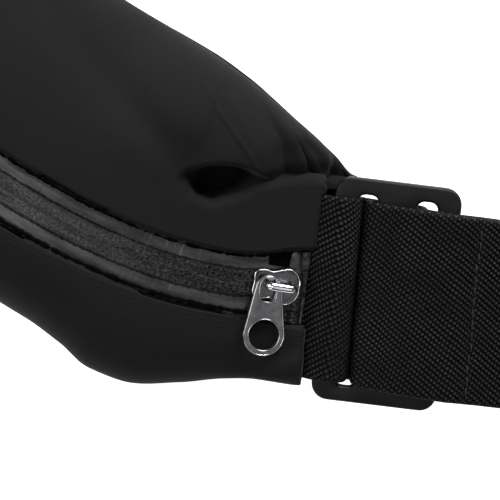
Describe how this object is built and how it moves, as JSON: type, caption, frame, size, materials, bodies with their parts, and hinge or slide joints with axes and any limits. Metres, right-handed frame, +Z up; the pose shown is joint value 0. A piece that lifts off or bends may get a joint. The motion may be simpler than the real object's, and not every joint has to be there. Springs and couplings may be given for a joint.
{
  "type": "money belt",
  "caption": "Black stretch waist pouch with a laminated zip, wide elastic webbing through a tri-glide and a side-release buckle.",
  "frame": {"origin": "middle of the bounding box in plan, on the surface the belt lies on", "axes": "+X along the belt's width from its left end to its right end, -Y to the pouch, +Y to the back of the strap, +Z up off the surface"},
  "size_m": [0.3714, 0.2262, 0.0384],
  "materials": {
    "stretch_fabric": "matte knit",
    "back_fabric": "matte knit",
    "zip_tape": "glossy laminate",
    "zip_coil": "satin",
    "gunmetal": "dark plated, matte",
    "gunmetal_polished": "dark plated, polished",
    "elastic_webbing": "ribbed elastic weave",
    "moulded_plastic": "fine satin texture"
  },
  "bodies": {
    "belt": {"pouch_front_upper": "stretch_fabric", "pouch_front_lower": "stretch_fabric", "pouch_back_panel": "back_fabric", "zip_tape_upper": "zip_tape", "zip_tape_lower": "zip_tape", "zip_coil_upper": "zip_coil", "zip_coil_lower": "zip_coil", "zip_end_stop_right": "gunmetal", "zip_end_stop_left": "gunmetal", "webbing_run_right": "elastic_webbing", "webbing_run_back": "elastic_webbing", "webbing_return_back": "elastic_webbing", "webbing_tab_left": "elastic_webbing", "buckle_socket": "moulded_plastic"},
    "zip_slider": {"zip_slider_body": "gunmetal", "zip_slider_bridge": "gunmetal_polished"},
    "puller": {"zip_puller": "gunmetal"},
    "tri_glide": {"tri_glide": "moulded_plastic", "webbing_threaded": "elastic_webbing", "webbing_return_right": "elastic_webbing"},
    "buckle_plug": {"buckle_plug": "moulded_plastic", "webbing_buckle_loop": "elastic_webbing"},
    "prong_inner": {"buckle_prong_inner": "moulded_plastic"},
    "prong_outer": {"buckle_prong_outer": "moulded_plastic"}
  },
  "joints": [
    {"name": "zip_slide", "type": "hinge", "parent": "belt", "child": "zip_slider", "pos_m": [0.00758, 0.04359, -0.0108], "axis": [0, -0.3256, -0.9455], "range_deg": [0, 84]},
    {"name": "puller_swing", "type": "hinge", "parent": "zip_slider", "child": "puller", "pos_m": [0.10642, -0.0547, 0.02525], "axis": [-0.7787, 0.5825, 0.2331], "range_deg": [0, 150]},
    {"name": "glide_slide", "type": "slide", "parent": "belt", "child": "tri_glide", "axis": [0.7145, 0.6996, 0], "range_m": [0, 0.016], "deforming": ["webbing_threaded", "webbing_run_right", "webbing_return_right"]},
    {"name": "buckle_release", "type": "slide", "parent": "belt", "child": "buckle_plug", "axis": [-0.7145, 0.6996, 0], "range_m": [0, 0.03], "deforming": ["webbing_buckle_loop", "buckle_prong_inner", "buckle_prong_outer"]},
    {"name": "prong_inner_press", "type": "hinge", "parent": "buckle_plug", "child": "prong_inner", "pos_m": [-0.12423, -0.00556, 0.02284], "axis": [0.1455, 0.1486, -0.9781], "range_deg": [0, 8], "stiffness_Nm_per_rad": 0.3},
    {"name": "prong_outer_press", "type": "hinge", "parent": "buckle_plug", "child": "prong_outer", "pos_m": [-0.14066, -0.02234, 0.01785], "axis": [-0.1455, -0.1486, 0.9781], "range_deg": [0, 8], "stiffness_Nm_per_rad": 0.3}
  ]
}
